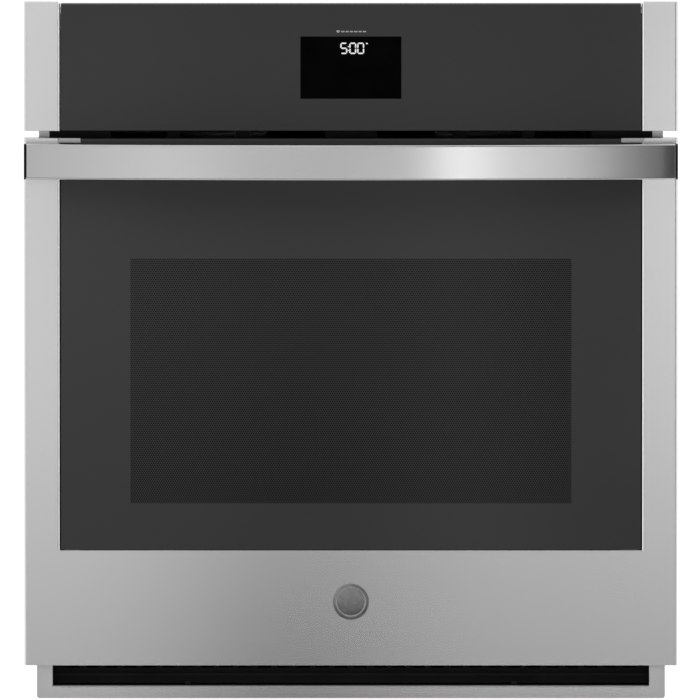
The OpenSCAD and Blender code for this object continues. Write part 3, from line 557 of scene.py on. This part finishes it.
def dress(name):
    """Welds a CAD node's mesh and rounds its edges, all in modifiers."""
    obj = nodes[name]
    clear_split_normals(obj.data)
    weld = obj.modifiers.new("weld", "WELD")
    weld.merge_threshold = 0.001 * MM
    flat = obj.modifiers.new("flat", "DECIMATE")
    flat.decimate_type = "DISSOLVE"
    flat.angle_limit = math.radians(0.4)
    if name in ROUND_NODES:
        split = obj.modifiers.new("split", "EDGE_SPLIT")
        split.split_angle = math.radians(38)
        return
    bevel = obj.modifiers.new("bevel", "BEVEL")
    bevel.width = (0.15 if name in FINE_NODES else 0.3) * MM
    bevel.segments = 2
    bevel.limit_method = "ANGLE"
    bevel.angle_limit = math.radians(35)
    bevel.harden_normals = False
    normal = obj.modifiers.new("normal", "WEIGHTED_NORMAL")
    normal.keep_sharp = True


# ---------------------------------------------------------------- new pieces

def add_piece(name, mesh, body, slot, material=None, replaced=(), smooth=True):
    """Puts a finished bmesh into the scene as a piece that rides on a CAD body."""
    data = bpy.data.meshes.new(name)
    bmesh.ops.recalc_face_normals(mesh, faces=mesh.faces)
    mesh.to_mesh(data)
    mesh.free()
    obj = bpy.data.objects.new(name, data)
    scene.collection.objects.link(obj)
    data.polygons.foreach_set("use_smooth", [smooth] * len(data.polygons))
    data.materials.append(material or MATERIALS[slot])
    if smooth:
        obj.modifiers.new("normal", "WEIGHTED_NORMAL").keep_sharp = True
    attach(obj, body)
    if replaced:
        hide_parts(*replaced)
    return obj


def loft(mesh, rings, closed=False):
    """Joins rings of points, each a list of the same length, into a skin, capped unless it is closed."""
    made = [[mesh.verts.new(p) for p in ring] for ring in rings]
    pairs = list(zip(made, made[1:])) + ([(made[-1], made[0])] if closed else [])
    for a, b in pairs:
        for i in range(len(a)):
            j = (i + 1) % len(a)
            mesh.faces.new((a[i], a[j], b[j], b[i]))
    if not closed:
        mesh.faces.new(made[0])
        mesh.faces.new(list(reversed(made[-1])))


def soft_rectangle(width, height, radius, steps=5, centre=(0.0, 0.0)):
    """Outline of a rectangle with round corners."""
    points = []
    for k, (sx, sy) in enumerate(((1, 1), (-1, 1), (-1, -1), (1, -1))):
        for i in range(steps + 1):
            a = math.radians(90 * (k + i / steps))
            points.append((
                sx * (width / 2 - radius) + radius * math.cos(a) + centre[0],
                sy * (height / 2 - radius) + radius * math.sin(a) + centre[1],
            ))
    return points


def handle_bar():
    """Bowed bar with softly rounded edges and eased ends."""
    lo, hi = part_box("handle_bar")
    half, height = hi.x, hi.z - lo.z
    radius = (half ** 2 + HANDLE_BOW ** 2) / (2 * HANDLE_BOW)
    centre = Vector((0, lo.y + radius, (lo.z + hi.z) / 2))
    reach = math.asin(half / radius)
    middle = radius - HANDLE_T / 2
    mesh = bmesh.new()
    rings = []
    steps = 96
    for k in range(steps + 1):
        share = -1 + 2 * k / steps
        cut = HANDLE_EASE if k in (0, steps) else 0.0
        a = reach * share
        if k in (1, steps - 1):
            a = math.copysign(reach - HANDLE_EASE / radius, share)
        outline = soft_rectangle(HANDLE_T - 2 * cut, height - 2 * cut, HANDLE_EDGE - cut)
        rings.append([
            centre + Vector((math.sin(a) * (middle + u), -math.cos(a) * (middle + u), v))
            for u, v in outline
        ])
    loft(mesh, rings)
    return add_piece("handle_bar_brushed", mesh, "door", "handle_steel", replaced=["handle_bar"])


def revolve(mesh, profile, centre, steps=96):
    """Turns a profile of (radius, height towards the viewer) about the Y axis."""
    turns = [2 * math.pi * i / steps for i in range(steps)]
    rings = [[centre + Vector((r * math.cos(a), -h, r * math.sin(a))) for a in turns] for r, h in profile]
    loft(mesh, rings)


def badge_disc():
    """Plain disc with a raised rim, a groove and a slightly domed middle."""
    lo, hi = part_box("badge")
    centre = Vector(((lo.x + hi.x) / 2, hi.y, (lo.z + hi.z) / 2))
    r, depth = (hi.x - lo.x) / 2, hi.y - lo.y
    profile = [(r, 0.0), (r, depth * 0.5), (r - 0.5 * MM, depth * 0.72), (r - 2.2 * MM, depth * 0.78)]
    profile += [(r - 2.7 * MM, depth * 0.95), (r - 3.3 * MM, depth), (r - 3.9 * MM, depth * 0.95)]
    profile += [(r - 4.4 * MM, depth * 0.55), (r - 5.0 * MM, depth * 0.5), (r - 5.5 * MM, depth * 0.62)]
    inner, tip = r - 6.0 * MM, 0.05 * MM
    for i in range(9):
        out = 1 - i / 8
        profile.append((max(inner * out, tip), depth * (0.68 + 0.2 * (1 - out ** 2))))
    mesh = bmesh.new()
    revolve(mesh, profile, centre)
    return add_piece("badge_disc", mesh, "door", "brushed_stainless", badge_steel(), replaced=["badge"])


def tube(mesh, path, radius, sides, closed=False, shape=None):
    """Round tube along points. shape(i, side) scales the radius."""
    rings = []
    count = len(path)
    up = None
    for i, p in enumerate(path):
        before = path[i - 1] if (i or closed) else path[0]
        after = path[(i + 1) % count] if (i + 1 < count or closed) else path[-1]
        along = (after - before).normalized()
        if up is None:
            up = along.orthogonal().normalized()
        up = (up - along * up.dot(along)).normalized()
        side = along.cross(up)
        ring = []
        for j in range(sides):
            a = 2 * math.pi * j / sides
            r = radius * (shape(i, j) if shape else 1.0)
            ring.append(p + (up * math.cos(a) + side * math.sin(a)) * r)
        rings.append(ring)
    loft(mesh, rings, closed=closed)


def door_springs():
    """Two compression springs with closed ends, round each rod."""
    lo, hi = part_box("door_springs")
    coil = (hi.y - lo.y) / 2 - SPRING_WIRE
    centre_y = (lo.y + hi.y) / 2
    x = hi.x - coil - SPRING_WIRE
    bottom, top = lo.z + SPRING_WIRE, hi.z - SPRING_WIRE
    end_share = 1.2 / SPRING_TURNS      # share of the wire in each closed end
    end_rise = 2 * SPRING_WIRE          # height of each closed end
    total = SPRING_TURNS * 28
    mesh = bmesh.new()
    for side in (-1, 1):
        path = []
        for i in range(total + 1):
            share = i / total
            if share < end_share:
                rise = share / end_share * end_rise
            elif share > 1 - end_share:
                rise = (top - bottom) - (1 - share) / end_share * end_rise
            else:
                rise = end_rise + (share - end_share) / (1 - 2 * end_share) * (top - bottom - 2 * end_rise)
            a = 2 * math.pi * SPRING_TURNS * share
            round_x, round_y = side * x + coil * math.cos(a), centre_y + coil * math.sin(a)
            path.append(Vector((round_x, round_y, bottom + rise)))
        tube(mesh, path, SPRING_WIRE, 8)
    obj = add_piece("door_spring_coils", mesh, "door", "spring_steel", replaced=["door_springs"])
    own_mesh(obj)
    return obj


def gasket():
    """Braided sleeve round the cavity's mouth."""
    lo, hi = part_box("door_gasket")
    radius = (hi.y - lo.y) / 2
    x, z = (lo.x + radius, hi.x - radius), (lo.z + radius, hi.z - radius)
    y = (lo.y + hi.y) / 2
    corners = [(x[1], z[1]), (x[0], z[1]), (x[0], z[0]), (x[1], z[0])]
    path = []
    spacing, sides, bend_steps = 1.3 * MM, 16, 32
    for k, (cx, cz) in enumerate(corners):
        inward = Vector((-math.copysign(1, cx), 0, -1 if cz == z[1] else 1)) * GASKET_BEND
        centre = Vector((cx, y, cz)) + inward
        for i in range(bend_steps + 1):
            a = math.radians(90 * (k + i / bend_steps))
            path.append(centre + Vector((math.cos(a), 0, math.sin(a))) * GASKET_BEND)
    dense = []
    for a, b in zip(path, path[1:] + path[:1]):
        count = max(1, round((b - a).length / spacing))
        dense += [a.lerp(b, i / count) for i in range(count)]
    mesh = bmesh.new()

    def weave(i, j):
        """Two crossing waves, one for each lay of the sleeve, that never reach past the radius."""
        a = 2 * math.pi * j / sides
        return 0.955 + 0.03 * math.cos(i * 1.05 + 2 * a) + 0.012 * math.cos(i * 1.05 - 2 * a)

    tube(mesh, dense, radius, sides, closed=True, shape=weave)
    return add_piece("gasket_braid", mesh, "chassis", "gasket_fabric", replaced=["door_gasket"])


def slab(mesh, outline, y, depth):
    """Flat piece with the outline in X and Z, its face at y and its back depth behind."""
    front = [mesh.verts.new((px, y, pz)) for px, pz in outline]
    back = [mesh.verts.new((px, y + depth, pz)) for px, pz in outline]
    mesh.faces.new(front)
    mesh.faces.new(list(reversed(back)))
    for i in range(len(outline)):
        j = (i + 1) % len(outline)
        mesh.faces.new((front[i], front[j], back[j], back[i]))


SEGMENTS = {"0": "abcdef", "5": "afgcd"}


def segment_ends(key, x, top):
    """End points of one of seven segments of a digit whose left top corner is at x, top."""
    left, right = x, x + DIGIT_W
    middle, bottom = top - DIGIT_H / 2, top - DIGIT_H
    return {
        "a": ((left, top), (right, top)), "b": ((right, top), (right, middle)),
        "c": ((right, middle), (right, bottom)), "d": ((left, bottom), (right, bottom)),
        "e": ((left, middle), (left, bottom)), "f": ((left, top), (left, middle)),
        "g": ((left, middle), (right, middle)),
    }[key]


def bar_between(mesh, a, b, width, y, depth):
    """Flat bar with pointed ends from a to b."""
    a, b = Vector((a[0], 0, a[1])), Vector((b[0], 0, b[1]))
    along = (b - a).normalized()
    side = Vector((-along.z, 0, along.x)) * width / 2
    a, b = a + along * width * 0.15, b - along * width * 0.15
    tip = along * width / 2
    ring = [a, a + tip + side, b - tip + side, b, b - tip - side, a + tip - side]
    slab(mesh, [(p.x, p.z) for p in ring], y, depth)


def display_window():
    """Black window behind the clock."""
    mesh = bmesh.new()
    low, high = DISPLAY_Z
    outline = soft_rectangle(2 * DISPLAY_HALF, high - low, 0.6 * MM, 3, (0.0, (low + high) / 2))
    slab(mesh, outline, GLASS_FACE - 0.06 * MM, 0.5 * MM)
    add_piece("display_window", mesh, "chassis", "black_plastic", smooth=False)


def clock_digits():
    """Three digits, the colon between them and a slanted mark after them."""
    y, depth = GLASS_FACE - 0.12 * MM, 0.3 * MM
    mesh = bmesh.new()
    for digit, x in DIGIT_STARTS:
        for key in SEGMENTS[digit]:
            a, b = segment_ends(key, x, DIGIT_TOP - DIGIT_STROKE / 2)
            bar_between(mesh, a, b, DIGIT_STROKE, y, depth)
    for drop in COLON_DROPS:
        slab(mesh, soft_rectangle(COLON_DOT, COLON_DOT, 0.3 * MM, 2, (COLON_X, DIGIT_TOP - drop)), y, depth)
    mark = ((15.2 * MM, DIGIT_TOP - 0.6 * MM), (18.0 * MM, DIGIT_TOP - 1.4 * MM))
    bar_between(mesh, *mark, 1.4 * MM, y, depth)
    add_piece("clock_digits", mesh, "chassis", "white_plastic", lit("clock_glow", 0.8), smooth=False)


def panel_marks():
    """Printed quarter disc and a row of dashes above the window."""
    y, depth = GLASS_FACE - 0.05 * MM, 0.2 * MM
    mesh = bmesh.new()
    x, z = FAN_MARK
    fan = [FAN_MARK]
    for i in range(9):
        a = math.radians(45 + 90 * i / 8)
        fan.append((x + FAN_RADIUS * math.cos(a), z + FAN_RADIUS * math.sin(a)))
    slab(mesh, fan, y, depth)
    for k in range(DASH_COUNT):
        middle = (DASH_MARK[0] + DASH_PITCH * k, DASH_MARK[1])
        slab(mesh, soft_rectangle(*DASH_SIZE, 0.5 * MM, 3, middle), y, depth)
    add_piece("panel_marks", mesh, "chassis", "white_plastic", print_ink("panel_ink", 0.22), smooth=False)


# ---------------------------------------------------------------- build

for name, obj in nodes.items():
    obj.data.materials.clear()
    obj.data.materials.append(MATERIALS[NODE_SLOT[name]])
    dress(name)
ribbed = galvanised("galvanised_ribbed", RIB_Z)
for name in ("side_panel_left", "side_panel_right"):
    nodes[name].data.materials[0] = ribbed
nodes["glass_clips"].data.materials[0] = MATERIALS["flange_steel"]
# the post steel carries painted shade past the bar's ends, standing for the shadow on the handle's end
# returns
nodes["handle_posts"].data.materials[0] = brushed("post_steel", 0.5, 0.3, band=PAINTED_END_SHADE)

handle_bar()
badge_disc()
door_springs()
gasket()
display_window()
clock_digits()
panel_marks()


# ---------------------------------------------------------------- stage, light and camera

def stage_plane(name, corners, material):
    mesh = bpy.data.meshes.new(name)
    mesh.from_pydata(corners, [], [(0, 1, 2, 3)])
    obj = bpy.data.objects.new(name, mesh)
    mesh.materials.append(material)
    scene.collection.objects.link(obj)
    return obj


def floor():
    """Very large pale table that glows a little, so that its far end stays as pale as its near end."""
    s = Surface("floor_pale")
    tone = s.ramp(s.noise(0.5), grey(0.33), grey(0.36), 0.3, 0.7)
    s.set(color=tone, roughness=0.9, specular=0.0, emission=grey(1.0), glow=0.8)
    r = FLOOR_HALF
    corners = [(-r, -r, FLOOR_Z), (r, -r, FLOOR_Z), (r, r, FLOOR_Z), (-r, r, FLOOR_Z)]
    stage_plane("floor", corners, s.material).visible_glossy = False


def upright_in_reflections(name, half, y, heights, material):
    """Upright plane in front of the oven, seen only in reflections."""
    low, high = heights
    obj = stage_plane(name, [(-half, y, low), (half, y, low), (half, y, high), (-half, y, high)], material)
    obj.visible_camera = False
    obj.visible_diffuse = False
    obj.visible_shadow = False
    obj.visible_transmission = False


def reflection_card():
    """Large glowing card far in front: bright above, darker below, with a lamp's strip on the right.

    Each line is one gradient seen in the photo's steel and glass. The glow is their product and the lamp.
    """
    s = Surface("card_glow")
    x, _, z = s.axes()
    rise = s.product(s.ramp(z, 0.0, 2.25, -0.56, 0.84), s.ramp(z, 1.0, 0.25, 0.3, 0.6))
    lean = s.product(s.ramp(x, 1.46, 1.12, -0.29, 0.0), s.ramp(x, 1.0, 0.33, 0.12, 0.34))
    hump = s.math("MULTIPLY_ADD", s.bell(x, 0.18, 0.12), 0.66, 1.0)
    above, leftward = s.ramp(z, 0.0, 1.0, 0.0, 0.28), s.ramp(x, 0.42, -0.3, -0.25, 0.3)
    upper_left = s.math("MULTIPLY_ADD", above, leftward, 1.0)
    far_right = s.ramp(x, 1.0, 0.3, 0.9, 1.66)
    far_left = s.product(s.ramp(x, 0.51, 0.7, -1.58, -0.9), s.ramp(x, 1.0, 1.2, -0.5, -0.38))
    level = s.product(rise, far_left, lean, hump, far_right, upper_left)
    strip = s.product(s.bell(x, 0.54, 0.14), 2.85)
    halo = s.product(s.bell(x, 1.0, 0.42), 1.4)
    lamp = s.product(s.math("ADD", strip, halo), s.inside(z, 0.0, 0.75))
    glow = s.plain("ShaderNodeEmission", "Strength", s.math("ADD", level, lamp))
    upright_in_reflections("card", CARD_HALF, CARD_Y, CARD_Z, glow)


def shade_net():
    """Thin net nearer to the front that dims the reflections in two places of the door."""
    s = Surface("net_shade")
    x, _, z = s.axes()
    low = s.product(s.ramp(z, 0.86, 0.0, -0.11, 0.42), s.bell(x, -0.067, 0.108))
    high = s.product(s.bell(z, 0.49, 0.1), 0.46, s.bell(x, -0.14, 0.17))
    through = s.math("SUBTRACT", 1.0, s.math("MAXIMUM", low, high))
    net = s.plain("ShaderNodeBsdfTransparent", "Color", through)
    upright_in_reflections("net", NET_HALF, NET_Y, NET_Z, net)


def soft_light(name, place, aim, size, power):
    data = bpy.data.lights.new(name, "AREA")
    data.shape = "RECTANGLE"
    data.size, data.size_y = size
    data.energy = power
    obj = bpy.data.objects.new(name, data)
    scene.collection.objects.link(obj)
    obj.location = place
    obj.rotation_euler = (Vector(aim) - Vector(place)).to_track_quat("-Z", "Y").to_euler()
    obj.visible_camera = False
    return obj


def world():
    made = bpy.data.worlds.new("studio")
    made.use_nodes = True
    background = made.node_tree.nodes["Background"]
    background.inputs["Color"].default_value = (1.0, 1.0, 1.0, 1.0)
    background.inputs["Strength"].default_value = 1.1
    scene.world = made


def camera():
    """Long lens from far away, aimed at the middle of the front and tilted down a little."""
    tilt = math.radians(CAMERA_TILT)
    data = bpy.data.cameras.new("camera")
    data.sensor_width = 36.0
    data.lens = CAMERA_LENS
    data.clip_end = 500.0
    data.dof.use_dof = False
    obj = bpy.data.objects.new("camera", data)
    scene.collection.objects.link(obj)
    back = Vector((0, -math.cos(tilt), math.sin(tilt)))
    obj.location = Vector(CAMERA_AIM) + back * CAMERA_DISTANCE
    obj.rotation_euler = (-back).to_track_quat("-Z", "Y").to_euler()
    scene.camera = obj


floor()
reflection_card()
shade_net()
soft_light("key", (-1.6, -2.6, 2.6), (0, 0, 0.35), (1.8, 1.8), 45).visible_glossy = False
soft_light("fill", (2.2, -1.2, 1.8), (0, 0.2, 0.35), (1.6, 1.6), 10).visible_glossy = False
world()
camera()
scene.view_settings.view_transform = "Standard"
scene.view_settings.look = "None"
